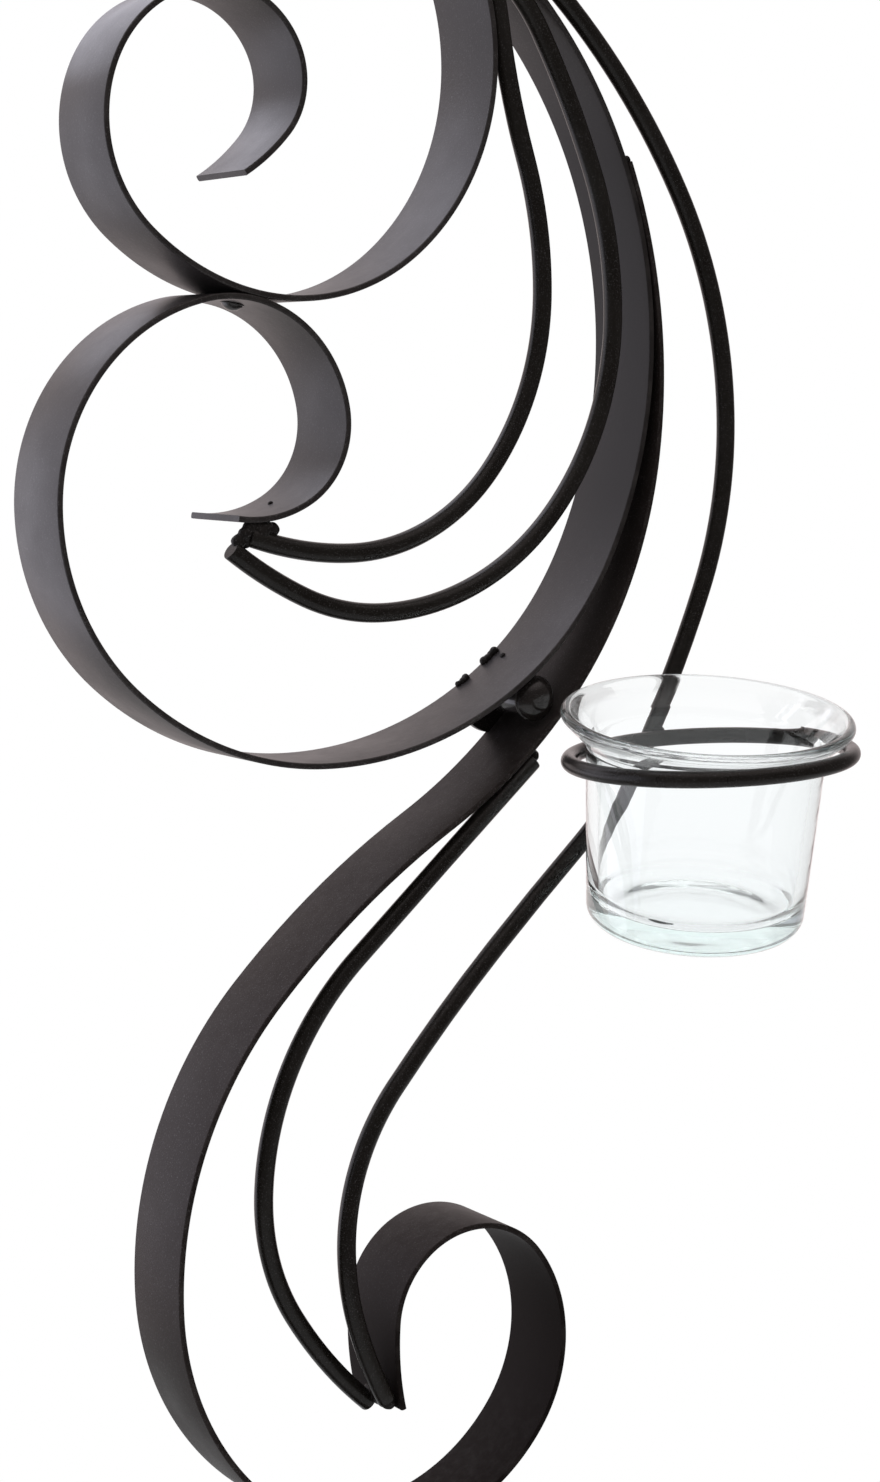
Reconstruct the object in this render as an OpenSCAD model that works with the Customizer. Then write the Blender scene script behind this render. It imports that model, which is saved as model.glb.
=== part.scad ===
// Wall tealight holder: flat strips bent into three scrolls, four plain round
// rods swept between them, a wire ring on the outer rod and a glass cup in it.
// Millimetres, +Z up, the wall is the plane Y = 0 and the holder stands out to -Y.
// The origin is where the axis of the middle stud meets the wall.

/* [Ironwork] */
// height of the ironwork, lowest bend to top ends
iron_height = 320; // [260:5:400]
// width of the flat strips, square to the wall
strip_w = 19; // [12:0.5:28]
// thickness of the flat strips
strip_t = 1.2; // [0.8:0.1:3]
// diameter of the plain rods
rod_d = 3.8; // [2.5:0.1:6]
// clear space between the middle and main strips at the stud
stud_gap = 10; // [8:0.5:16]
// size of a weld bead
bead_r = 2; // [1.2:0.1:3]

/* [Ring and cup] */
// outside diameter of the wire ring
ring_od = 59; // [52:0.5:80]
// diameter of the ring wire
ring_wire_d = 3.3; // [2.5:0.1:6]
// swing of the ring about its joint, seen from above
ring_swing = 13.7; // [0:0.1:40]
// droop of the ring, away from its joint
ring_droop = 0.8; // [0:0.1:4]
// roll of the ring about its joint, right side up
ring_roll = 2.7; // [-5:0.1:5]
// forward lean of the cup in its ring
cup_lean = 9.5; // [0:0.5:14]
// turn of that lean, seen from above
cup_turn = 8.8; // [-30:0.1:30]
// outside diameter of the rim of the cup
cup_rim_d = 58.2; // [50:0.1:80]
// height of the cup
cup_h = 44.3; // [30:0.1:70]
// outside diameter under the base of the cup
cup_base_d = 43.8; // [38:0.1:60]
// thickness of the cup wall
cup_wall = 2; // [1.2:0.1:3.5]
// thickness of the cup floor
cup_floor = 5; // [2:0.5:8]
// height of the flare between the neck and the lip
flare = 5.4; // [3:0.1:9]
// space between the neck of the cup and the ring wire
neck_gap = 2.5; // [1:0.1:5]
// gap between the cup and the ring wire
cup_clearance = 0.1; // [0.05:0.05:0.5]

/* [Stud and wall plate] */
// diameter of the round wall plate
plate_d = 16.8; // [14:0.2:30]
// thickness of the wall plate
plate_t = 1.6; // [1:0.1:3]
// diameter of the domed head of the stud
stud_head_d = 9.4; // [6:0.1:12]
// height of the domed head
stud_head_h = 3.4; // [2:0.1:6]
// diameter of the shank of the stud
stud_shank_d = 4.4; // [3:0.1:6]
// outside diameter of the spacer sleeve
sleeve_d = 7.2; // [5.5:0.1:10]
// how far the domed head stays behind the front edges
stud_set_back = 1.6; // [0:0.1:6]

/* [Rivet and hanging eye] */
// diameter of the rivet between the two upper scrolls
rivet_d = 2.6; // [2:0.1:4]
// diameter of its heads
rivet_head_d = 4.6; // [3.5:0.1:7]
// outside diameter of the hanging eye
eye_d = 13; // [11:0.5:20]
// hole in the hanging eye
eye_hole_d = 6; // [4:0.5:8]
// thickness of the hanging eye
eye_t = 1.6; // [1:0.1:3]

/* [Hidden] */
$fn = 96;
weld_gap = 0.1;
rivet_fit = 0.05;
hair = 0.03;
seam_half = 0.3;
turn_step = 3;
cup_back_gap = 0.3;
scale_k = iron_height / 320;
rod_r = rod_d / 2;
rod_y = strip_w - rod_r;
side = strip_t / 2 + rod_r + weld_gap;
half_gap = stud_gap / 2 + strip_t / 2;
wire_r = ring_wire_d / 2;
ring_r = ring_od / 2 - wire_r;

// Bends are [radius, turn in degrees]; a left turn is positive. A place is
// [x, z, heading], the heading counted from +X towards +Z.

// middle scroll, from the stud up to the top, and from the stud round to its tip
middle_up = sized([[66, 28], [96, 82]]);
middle_round = sized([
  [76, -38], [63, -40], [46.5, -47], [39, -78], [25, -93], [17, -71], [24, -38]
]);
// upper scroll, from its joint with the middle one, up and round
upper_up = sized([[43, 50], [47.5, 80]]);
upper_round = sized([
  [47, -30], [26.5, -75], [24, -60], [17.5, -67], [14, -57], [22, -38]
]);
// main strip, from the stud down to the tip of the bottom scroll
main_down = sized([
  [110, -17], [180, 16], [80, 46], [58.5, 67], [39.5, 74],
  [31.5, 75], [19.5, 67], [18.5, 71], [62, 16.5]
]);

middle_start = off_stud(36, -half_gap);
main_start = off_stud(47, half_gap);
// where the upper and middle scrolls touch, back to back
scroll_joint = part_way(about(middle_start), middle_round, -227.5);
upper_start = beside(scroll_joint, -strip_t);
// the main strip ends flat against the middle one
main_top = beside(part_way(middle_start, middle_up, 76), strip_t + hair);
main_up = meet(main_start, main_top);

middle_top = pose(middle_start, middle_up, len(middle_up));
middle_tip = pose(about(middle_start), middle_round, len(middle_round));
upper_top = pose(upper_start, upper_up, len(upper_up));
upper_tip = pose(about(upper_start), upper_round, len(upper_round));
main_tip = pose(about(main_start), main_down, len(main_down));
// where the rods meet the strip, just before its tip
hold = ahead(main_tip, -2.7);

// rods run from the top downwards
inner_rod_places = [
  beside(about(part_way(upper_start, upper_up, 118)), -side),
  spot(1, 82, -90),
  spot(-44, 30, -180),
  spot(-66.5, 33.4, -195)
];
middle_rod_places = [
  beside(about(part_way(middle_start, middle_up, 99)), side),
  spot(17.5, 80, -90),
  spot(-37, 19, -180),
  spot(-69.5, 31, -215)
];
outer_rod_places = [
  beside(about(part_way(middle_start, middle_up, 106)), -side),
  spot(48, 53, -90),
  spot(27.78, -9.35, -119),
  spot(-10, -50, -136),
  spot(-45.5, -107, -90),
  [hold[0] - side, hold[1] - 0.5, -62]
];
lower_rod_places = [
  beside(part_way(about(main_start), main_down, -5), -side),
  spot(-61.5, -95, -90),
  [hold[0] - side + 0.5, hold[1] - 3.6, -42]
];
inner_rod_bends = through(inner_rod_places);
middle_rod_bends = through(middle_rod_places);
outer_rod_bends = through(outer_rod_places);
lower_rod_bends = through(lower_rod_places);

// the lower rod starts at the front edge and leans back to the strip's middle
lower_rod_lean = atan((rod_y - strip_w / 2) /
  (lower_rod_places[0][1] - lower_rod_places[2][1]));

// the ring centre lies this far in front of the outer rod
ring_joint = outer_rod_places[2];
ring_reach = ring_r + wire_r + rod_r + weld_gap;

// the neck of the cup goes through the ring, and a straight flare runs from it to
// the underside of the rounded lip
lip_r = cup_wall / 2;
lip_mid = cup_rim_d / 2 - lip_r;
neck_r = ring_r - wire_r - neck_gap;
neck_z = cup_h - flare - sqrt(2) * lip_r;
to_lip = [lip_mid - neck_r, cup_h - lip_r - neck_z];
flare_angle = atan2(to_lip[1], to_lip[0]) - asin(lip_r / norm(to_lip));

// the leaning cup rests on the ring with its flare or its lip in front, and its
// neck is close to the ring behind
cup_shift = ring_r * cos(cup_lean) - wire_r - neck_r - cup_clearance - cup_back_gap;
wire_out = ring_r * cos(cup_lean) + cup_shift;
on_flare = cup_h - neck_z - (wire_out - neck_r) * tan(flare_angle) +
  (wire_r + cup_clearance) / cos(flare_angle);
on_lip = lip_r + sqrt(max(0,
  pow(wire_r + lip_r + cup_clearance, 2) - pow(wire_out - lip_mid, 2)));
rim_above_ring = max(on_flare, on_lip) + ring_r * sin(cup_lean);

function sized(bends) = [for (b = bends) [b[0] * scale_k, b[1]]];
function spot(x, z, heading) = [x * scale_k, z * scale_k, heading];
function about(p) = [p[0], p[1], p[2] + 180];
// a place d to the right of p
function beside(p, d) = [p[0] + d * sin(p[2]), p[1] - d * cos(p[2]), p[2]];
// a place d further on
function ahead(p, d) = [p[0] + d * cos(p[2]), p[1] + d * sin(p[2]), p[2]];
// the place nearest to the stud axis, d to its right
function off_stud(heading, d) = beside([0, 0, heading], d);

function turned(p, b) =
  let (r = sign(b[1]) * b[0])
  [
    p[0] - r * sin(p[2]) + r * sin(p[2] + b[1]),
    p[1] + r * cos(p[2]) - r * cos(p[2] + b[1]),
    p[2] + b[1]
  ];
function pose(p, bends, n) = n == 0 ? p : turned(pose(p, bends, n - 1), bends[n - 1]);
// the place reached when the path has turned by this angle
function part_way(p, bends, turn, i = 0) =
  abs(turn) <= abs(bends[i][1]) || i == len(bends) - 1
    ? turned(p, [bends[i][0], turn])
    : part_way(turned(p, bends[i]), bends, turn - bends[i][1], i + 1);

// one bend from place p to point j
function bend_to(p, j) =
  let (x = j[0] - p[0])
  let (z = j[1] - p[1])
  let (on = x * cos(p[2]) + z * sin(p[2]))
  let (off = z * cos(p[2]) - x * sin(p[2]))
  [(x * x + z * z) / (2 * abs(off)), 2 * atan2(off, on)];

// two bends that leave p and arrive at q along their headings
function meet(p, q) =
  let (t1 = [cos(p[2]), sin(p[2])])
  let (t2 = [cos(q[2]), sin(q[2])])
  let (v = [q[0] - p[0], q[1] - p[1]])
  let (c = 1 - t1 * t2)
  let (vt = v * (t1 + t2))
  let (d = (sqrt(vt * vt + 2 * c * v * v) - vt) / (2 * c))
  let (j = ([p[0], p[1]] + [q[0], q[1]] + d * (t1 - t2)) / 2)
  let (last = bend_to(about(q), j))
  [bend_to(p, j), [last[0], -last[1]]];

function through(places) =
  [for (i = [0:len(places) - 2]) each meet(places[i], places[i + 1])];

// a path that is drawn both ways from one place, as one run from its far end
function whole(back, on) =
  concat([for (i = [len(back) - 1:-1:0]) [back[i][0], -back[i][1]]], on);

// places every few degrees along bends
function steps(p, bends) = [
  for (i = [0:len(bends) - 1])
    let (n = ceil(abs(bends[i][1]) / turn_step))
    for (j = [0:n - 1])
      turned(pose(p, bends, i), [bends[i][0], bends[i][1] * j / n]),
  pose(p, bends, len(bends))
];

function point(p) = [p[0], p[1]];

// turns a flat shape through one bend; the shape's Y runs out from the wall
module one_bend(p, b) {
  left = sign(b[1]);
  mid = beside(p, -left * b[0]);
  seam = asin(seam_half / 2 / b[0]);
  translate([mid[0], 0, mid[1]])
    rotate([90, 0, 0])
      rotate([0, 0, p[2] - left * 90 + min(b[1], 0) + seam])
        rotate_extrude(angle = abs(b[1]) - 2 * seam)
          translate([b[0], 0])
            children();
}

module strip(p, bends) {
  places = steps(p, bends);
  rotate([90, 0, 0])
    linear_extrude(strip_w)
      polygon([
        for (q = places) point(beside(q, -strip_t / 2)),
        for (i = [len(places) - 1:-1:0]) point(beside(places[i], strip_t / 2))
      ]);
}

// a hair-thin sleeve covers each seam, so that a rod is one solid
module rod(p, bends, y) {
  for (i = [0:len(bends) - 1]) {
    one_bend(pose(p, bends, i), bends[i])
      translate([0, y])
        circle(r = rod_r);
  }
  for (i = [1:1:len(bends) - 1]) {
    q = pose(p, bends, i);
    translate([q[0], -y, q[1]])
      rotate([0, 90 - q[2], 0])
        translate([0, 0, -seam_half])
          cylinder(r = rod_r + hair, h = 2 * seam_half);
  }
}

module bead(p, y, r = bead_r) {
  translate([p[0], -y, p[1]])
    sphere(r = r);
}

// a round bar or hole square to the wall, from y to y + length
module out_bar(p, y, length, r) {
  translate([p[0], -y, p[1]])
    rotate([90, 0, 0])
      cylinder(r = r, h = length);
}

module upper_strip() {
  strip(about(upper_tip), whole(upper_round, upper_up));
}

module middle_strip() {
  strip(about(middle_tip), whole(middle_round, middle_up));
}

module main_strip() {
  strip(about(main_tip), whole(main_down, main_up));
}

module upper_scroll() {
  color([0.16, 0.15, 0.15])
    difference() {
      upper_strip();
      rivet_hole();
    }
}

module middle_scroll() {
  color([0.16, 0.15, 0.15])
    difference() {
      middle_strip();
      rivet_hole();
    }
}

module main_scroll() {
  color([0.16, 0.15, 0.15])
    main_strip();
}

module inner_rod() {
  color([0.12, 0.11, 0.11])
    rod(inner_rod_places[0], inner_rod_bends, rod_y);
}

module middle_rod() {
  color([0.12, 0.11, 0.11])
    rod(middle_rod_places[0], middle_rod_bends, rod_y);
}

module outer_rod() {
  color([0.12, 0.11, 0.11])
    rod(outer_rod_places[0], outer_rod_bends, rod_y);
}

module lower_rod() {
  top = lower_rod_places[0];
  color([0.12, 0.11, 0.11])
    translate([0, -rod_y, top[1]])
      rotate([lower_rod_lean, 0, 0])
        translate([0, 0, -top[1]])
          rod(top, lower_rod_bends, 0);
}

// places children on the joint of the scrolls, +Z pointing into the upper one
module at_rivet() {
  translate([scroll_joint[0], -strip_w / 2, scroll_joint[1]])
    rotate([0, -scroll_joint[2], 0])
      children();
}

module rivet_hole() {
  at_rivet()
    translate([0, 0, -5])
      cylinder(d = rivet_d + 2 * rivet_fit, h = 10);
}

module scroll_rivet() {
  head_h = rivet_head_d * 0.3;
  color([0.12, 0.11, 0.11])
    difference() {
      at_rivet() {
        translate([0, 0, -strip_t])
          cylinder(d = rivet_d, h = 3 * strip_t);
        translate([0, 0, strip_t * 1.5])
          low_dome(rivet_head_d, head_h);
        translate([0, 0, -strip_t / 2])
          mirror([0, 0, 1])
            low_dome(rivet_head_d, head_h);
      }
      difference() {
        upper_strip();
        rivet_hole();
      }
      difference() {
        middle_strip();
        rivet_hole();
      }
    }
}

// part of a ball, flat side down
module low_dome(d, h) {
  ball_r = (d * d / 4 + h * h) / (2 * h);
  intersection() {
    translate([0, 0, h - ball_r])
      sphere(r = ball_r);
    cylinder(d = d * 2, h = h * 2);
  }
}

module wall_plate() {
  middle_hub = beside(middle_start, -middle_up[0][0]);
  main_hub = beside(main_start, -main_up[0][0]);
  color([0.14, 0.13, 0.13])
    difference() {
      intersection() {
        out_bar([0, 0], 0, plate_t, plate_d / 2);
        out_bar(main_hub, -1, plate_t + 2, main_up[0][0] - strip_t / 2 - weld_gap / 2);
      }
      out_bar(middle_hub, -1, plate_t + 2, middle_up[0][0] + strip_t / 2 + weld_gap / 2);
      out_bar([0, 0], -1, plate_t + 2, stud_shank_d / 2);
    }
}

module stud_sleeve() {
  length = strip_w - plate_t - stud_set_back - stud_head_h;
  color([0.14, 0.13, 0.13])
    difference() {
      out_bar([0, 0], plate_t, length, sleeve_d / 2);
      out_bar([0, 0], plate_t - 1, length + 2, stud_shank_d / 2);
    }
}

module domed_stud() {
  head_y = strip_w - stud_set_back - stud_head_h;
  color([0.1, 0.1, 0.1]) {
    out_bar([0, 0], 0, head_y + 0.5, stud_shank_d / 2);
    translate([0, -head_y, 0])
      rotate([90, 0, 0])
        low_dome(stud_head_d, stud_head_h);
  }
}

module hanging_eye() {
  top = [
    (upper_top[0] + middle_top[0]) / 2,
    max(upper_top[1], middle_top[1]) + eye_hole_d / 2 + 1
  ];
  color([0.14, 0.13, 0.13])
    difference() {
      out_bar(top, 0, eye_t, eye_d / 2);
      out_bar(top, -1, eye_t + 2, eye_hole_d / 2);
      upper_strip();
      middle_strip();
    }
}

// places children on the centre of the ring, +Y pointing back to its joint
module at_ring() {
  translate([ring_joint[0], -rod_y, ring_joint[1]])
    rotate([0, 0, -ring_swing])
      rotate([ring_droop, 0, 0])
        rotate([0, -ring_roll, 0])
          translate([0, -ring_reach, 0])
            children();
}

module cup_ring() {
  color([0.12, 0.11, 0.11])
    at_ring()
      rotate_extrude()
        translate([ring_r, 0])
          circle(r = wire_r);
}

// cup standing on Z = 0, axis on Z
module cup_body() {
  rim_r = cup_rim_d / 2;
  base_r = cup_base_d / 2;
  foot_r = 4;
  rotate_extrude()
    difference() {
      union() {
        polygon([
          [0, 0],
          [base_r - foot_r, 0],
          [base_r, foot_r],
          [neck_r, neck_z],
          [lip_mid + lip_r * sin(flare_angle), cup_h - lip_r - lip_r * cos(flare_angle)],
          [lip_mid, cup_h],
          [0, cup_h]
        ]);
        translate([base_r - foot_r, foot_r])
          circle(r = foot_r);
        translate([lip_mid, cup_h - lip_r])
          circle(r = lip_r);
      }
      polygon([
        [-1, cup_floor],
        [base_r - cup_wall - 2, cup_floor],
        [base_r - cup_wall, cup_floor + 2],
        [neck_r - cup_wall, neck_z],
        [rim_r - cup_wall, cup_h - lip_r],
        [rim_r - cup_wall, cup_h + 1],
        [-1, cup_h + 1]
      ]);
      translate([-2 * rim_r, -1])
        square([2 * rim_r, cup_h + 2]);
    }
}

module glass_cup() {
  color([0.8, 0.9, 0.9, 0.35])
    at_ring()
      rotate([cup_lean, 0, cup_turn])
        translate([0, cup_shift, rim_above_ring - cup_h])
          cup_body();
}

// the welds are each cut to the pieces that they join

module plate_welds() {
  r = bead_r * 0.75;
  out = strip_t / 2 + r * 0.4;
  up = part_way(middle_start, middle_up, 6);
  down = part_way(about(middle_start), middle_round, -5);
  color([0.1, 0.1, 0.1])
    difference() {
      union() {
        bead(beside(up, -out), r, r);
        bead(beside(down, out), r, r);
        bead(beside(part_way(main_start, main_up, 4.2), out), r, r);
        bead(beside(part_way(about(main_start), main_down, -4), -out), r, r);
      }
      middle_strip();
      main_strip();
    }
}

module step_weld() {
  color([0.1, 0.1, 0.1])
    difference() {
      out_bar(ahead(main_top, 0.4), 1, strip_w - 2, bead_r * 0.6);
      middle_strip();
      main_strip();
    }
}

module crown_weld() {
  mid = (middle_top + upper_top) / 2;
  color([0.1, 0.1, 0.1])
    difference() {
      out_bar(mid, 3, strip_w - 6, bead_r);
      upper_strip();
      middle_strip();
      inner_rod();
      middle_rod();
      outer_rod();
    }
}

module scroll_tip_weld() {
  at_end = inner_rod_places[3];
  color([0.1, 0.1, 0.1])
    difference() {
      union() {
        bead([at_end[0] + 1.5, at_end[1] + 2], rod_y);
        bead([at_end[0] + 4.5, at_end[1] + 2], rod_y);
        bead([at_end[0] - 1.6, at_end[1] - 0.4], rod_y);
      }
      middle_strip();
      inner_rod();
      middle_rod();
    }
}

module bottom_tip_weld() {
  color([0.1, 0.1, 0.1])
    difference() {
      out_bar([hold[0] - 1.2, hold[1] - 1.4], strip_w / 2 - 2, strip_w / 2, bead_r * 0.95);
      main_strip();
      outer_rod();
      lower_rod();
    }
}

module lower_rod_weld() {
  top = lower_rod_places[0];
  color([0.1, 0.1, 0.1])
    difference() {
      bead([top[0] + 0.5, top[1] + 1.8], rod_y);
      main_strip();
      lower_rod();
    }
}

// a bead in the corner between the ring and the rod, this far along from their joint
module ring_bead(along) {
  corner = ahead([ring_joint[0], ring_joint[1], ring_joint[2] / 2 - 90], along);
  bead([corner[0] - rod_r * sin(ring_swing), corner[1]], rod_y + rod_r * cos(ring_swing), bead_r * 0.8);
}

module ring_weld() {
  color([0.1, 0.1, 0.1])
    difference() {
      union() {
        ring_bead(1.9);
        ring_bead(-1.9);
      }
      outer_rod();
      cup_ring();
    }
}

upper_scroll();
middle_scroll();
main_scroll();
inner_rod();
middle_rod();
outer_rod();
lower_rod();
scroll_rivet();
wall_plate();
stud_sleeve();
domed_stud();
hanging_eye();
cup_ring();
glass_cup();
plate_welds();
step_weld();
crown_weld();
scroll_tip_weld();
bottom_tip_weld();
lower_rod_weld();
ring_weld();
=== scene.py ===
import math
import random
import bpy
import bmesh
from mathutils import Matrix, Vector, noise


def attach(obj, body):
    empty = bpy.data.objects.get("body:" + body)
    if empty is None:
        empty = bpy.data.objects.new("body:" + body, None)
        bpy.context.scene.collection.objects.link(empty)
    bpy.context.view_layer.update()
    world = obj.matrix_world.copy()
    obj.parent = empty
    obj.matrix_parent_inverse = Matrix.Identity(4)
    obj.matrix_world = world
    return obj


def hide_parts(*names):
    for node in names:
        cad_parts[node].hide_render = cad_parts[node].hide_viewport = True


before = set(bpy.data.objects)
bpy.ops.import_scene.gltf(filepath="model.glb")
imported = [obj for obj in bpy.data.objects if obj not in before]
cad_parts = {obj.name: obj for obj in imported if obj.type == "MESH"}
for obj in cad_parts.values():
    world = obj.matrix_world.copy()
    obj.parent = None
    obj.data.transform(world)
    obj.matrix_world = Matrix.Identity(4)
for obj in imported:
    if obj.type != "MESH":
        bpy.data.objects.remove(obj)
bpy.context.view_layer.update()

mm = 0.001


def newObject(name, data):
    obj = bpy.data.objects.new(name, data)
    bpy.context.scene.collection.objects.link(obj)
    return obj


# the camera stands where the photograph was taken, a little left and above
cameraView = {"place": (-0.32855, -0.48697, 0.06177), "azimuth": -33, "elevation": 7,
              "lens": 69.23, "sensor": 36}


def makeCamera(view):
    data = bpy.data.cameras.new("photoCamera")
    data.sensor_fit = "VERTICAL"
    data.sensor_height = view["sensor"]
    data.lens = view["lens"]
    data.dof.use_dof = False
    camera = newObject("photoCamera", data)
    camera.location = view["place"]
    camera.rotation_euler = (math.radians(90 - view["elevation"]), 0, math.radians(view["azimuth"]))
    bpy.context.scene.camera = camera


makeCamera(cameraView)
print("camera placed")

# small helpers for node trees
nodeGrid = {"across": 170, "down": 190, "columns": 9}


def socketOf(sockets, key):
    for socket in sockets:
        if socket.identifier == key:
            return socket
    return sockets[key]


def addNode(tree, kind, values=None, **settings):
    node = tree.nodes.new(kind)
    row, column = divmod(len(tree.nodes), nodeGrid["columns"])
    node.location = (nodeGrid["across"] * column, -nodeGrid["down"] * row)
    for name, value in settings.items():
        setattr(node, name, value)
    for key, value in (values or {}).items():
        socketOf(node.inputs, key).default_value = value
    return node


def link(tree, source, output, target, key):
    tree.links.new(socketOf(source.outputs, output), socketOf(target.inputs, key))


def newGroup(name, kind, inputs, outputs):
    tree = bpy.data.node_groups.new(name, kind)
    for label, socketKind, value in inputs:
        socket = tree.interface.new_socket(name=label, in_out="INPUT", socket_type="NodeSocket" + socketKind)
        if value is not None:
            socket.default_value = value
    for label, socketKind in outputs:
        tree.interface.new_socket(name=label, in_out="OUTPUT", socket_type="NodeSocket" + socketKind)
    return tree, addNode(tree, "NodeGroupInput"), addNode(tree, "NodeGroupOutput")


def newMaterial(name):
    material = bpy.data.materials.new(name)
    material.use_nodes = True
    material.node_tree.nodes.clear()
    return material, material.node_tree


# a value moved from one range to another and held at its ends
def ranged(tree, source, output, start, end, low=0.0, high=1.0, soft=False):
    ends = {"From Min": start, "From Max": end, "To Min": low, "To Max": high}
    node = addNode(tree, "ShaderNodeMapRange", ends, interpolation_type="SMOOTHSTEP" if soft else "LINEAR")
    link(tree, source, output, node, "Value")
    return node


# two values put together by one sum
def worked(tree, operation, first, firstOutput, second, secondOutput):
    node = addNode(tree, "ShaderNodeMath", operation=operation)
    link(tree, first, firstOutput, node, 0)
    link(tree, second, secondOutput, node, 1)
    return node


# a mix of two colours or two values
def mixed(tree, kind, factor, output, values=None):
    node = addNode(tree, "ShaderNodeMix", values, data_type=kind)
    link(tree, factor, output, node, "Factor_Float")
    return node


# a group's colour, going over to another of its colours where the mask is 1
def tinted(tree, mask, output, given, label):
    tint = mixed(tree, "RGBA", mask, output)
    link(tree, given, "Colour", tint, "A_Color")
    link(tree, given, label, tint, "B_Color")
    return tint


# a mask broken up by noise and scaled by the group's amount
def brokenUp(tree, mask, given, wear):
    texture = addNode(tree, "ShaderNodeTexNoise", wear["noise"])
    link(tree, given, "Vector", texture, "Vector")
    broken = ranged(tree, texture, "Fac", *wear["broken"])
    both = worked(tree, "MULTIPLY", mask, "Result", broken, "Result")
    return worked(tree, "MULTIPLY", both, 0, given, "Amount")


darkIron = (0.02, 0.018, 0.017, 1)

# powder coat: an orange-peel skin, cloudy patches in its colour and gloss, and tiny pale grains
powder = {"peel": {"Detail": 2, "Roughness": 0.5}, "cloud": {"Detail": 5, "Roughness": 0.6},
          "grain": {"Detail": 1, "Roughness": 0.5}, "grainScale": 3.3, "patches": (0.36, 0.66),
          "grains": (0.6, 0.74, 0.0, 0.5), "grainColour": (0.075, 0.07, 0.072, 1),
          "gloss": (0.3, 0.7, -0.07, 0.09), "grainHeight": 0.3}


def makePowderCoat(p):
    tree, given, result = newGroup("powderCoat", "ShaderNodeTree", [
        ("Vector", "Vector", None),
        ("Colour", "Color", darkIron),
        ("Cloud Colour", "Color", (0.03, 0.027, 0.026, 1)),
        ("Roughness", "Float", 0.45),
        ("Peel Scale", "Float", 1100),
        ("Cloud Scale", "Float", 60),
    ], [("Colour", "Color"), ("Roughness", "Float"), ("Height", "Float")])
    textures = [addNode(tree, "ShaderNodeTexNoise", p[label]) for label in ("peel", "cloud", "grain")]
    for texture in textures:
        link(tree, given, "Vector", texture, "Vector")
    peel, cloud, grain = textures
    grainScale = addNode(tree, "ShaderNodeMath", {"Value_001": p["grainScale"]}, operation="MULTIPLY")
    link(tree, given, "Peel Scale", peel, "Scale")
    link(tree, given, "Cloud Scale", cloud, "Scale")
    link(tree, given, "Peel Scale", grainScale, 0)
    link(tree, grainScale, 0, grain, "Scale")
    patches = ranged(tree, cloud, "Fac", *p["patches"])
    tint = tinted(tree, patches, "Result", given, "Cloud Colour")
    specks = ranged(tree, grain, "Fac", *p["grains"])
    grainy = mixed(tree, "RGBA", specks, "Result", {"B_Color": p["grainColour"]})
    link(tree, tint, "Result_Color", grainy, "A_Color")
    link(tree, grainy, "Result_Color", result, "Colour")
    gloss = ranged(tree, cloud, "Fac", *p["gloss"])
    rough = worked(tree, "ADD", given, "Roughness", gloss, "Result")
    link(tree, rough, 0, result, "Roughness")
    height = addNode(tree, "ShaderNodeMix", {"Factor_Float": p["grainHeight"]}, data_type="FLOAT")
    link(tree, peel, "Fac", height, "A_Float")
    link(tree, grain, "Fac", height, "B_Float")
    link(tree, height, "Result_Float", result, "Height")
    return tree


# rubbed edges: the front and back edges of the strips lie at two fixed depths
edgeWear = {"near": (0.0005, 0.00005), "noise": {"Scale": 160, "Detail": 4, "Roughness": 0.65},
            "broken": (0.45, 0.65)}


def makeEdgeRub(wear):
    tree, given, result = newGroup("edgeRub", "ShaderNodeTree", [
        ("Vector", "Vector", None),
        ("Colour", "Color", darkIron),
        ("Rub Colour", "Color", (0.09, 0.08, 0.075, 1)),
        ("Middle", "Float", -0.0095),
        ("Half Width", "Float", 0.0095),
        ("Amount", "Float", 0.5),
    ], [("Colour", "Color")])
    parts = addNode(tree, "ShaderNodeSeparateXYZ")
    link(tree, given, "Vector", parts, 0)
    offset = worked(tree, "SUBTRACT", parts, "Y", given, "Middle")
    depth = addNode(tree, "ShaderNodeMath", operation="ABSOLUTE")
    link(tree, offset, 0, depth, 0)
    inside = worked(tree, "SUBTRACT", given, "Half Width", depth, 0)
    near = ranged(tree, inside, 0, *wear["near"], soft=True)
    amount = brokenUp(tree, near, given, wear)
    tint = tinted(tree, amount, 0, given, "Rub Colour")
    link(tree, tint, "Result_Color", result, "Colour")
    return tree


# a little dust settles on whatever faces up
dustWear = {"upward": (0.35, 1.0), "noise": {"Scale": 420, "Detail": 5, "Roughness": 0.7},
            "broken": (0.42, 0.7)}


def makeSettledDust(wear):
    tree, given, result = newGroup("settledDust", "ShaderNodeTree", [
        ("Vector", "Vector", None),
        ("Colour", "Color", darkIron),
        ("Dust Colour", "Color", (0.16, 0.15, 0.145, 1)),
        ("Amount", "Float", 0.1),
    ], [("Colour", "Color")])
    facing = addNode(tree, "ShaderNodeNewGeometry")
    parts = addNode(tree, "ShaderNodeSeparateXYZ")
    link(tree, facing, "Normal", parts, 0)
    upward = ranged(tree, parts, "Z", *wear["upward"])
    amount = brokenUp(tree, upward, given, wear)
    tint = tinted(tree, amount, 0, given, "Dust Colour")
    link(tree, tint, "Result_Color", result, "Colour")
    return tree


# a patch about one place where the finish is duller and its colour darker, painted shade, fading out about
# its reach
dullShadeFade = (1.15, 0.6)


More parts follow.
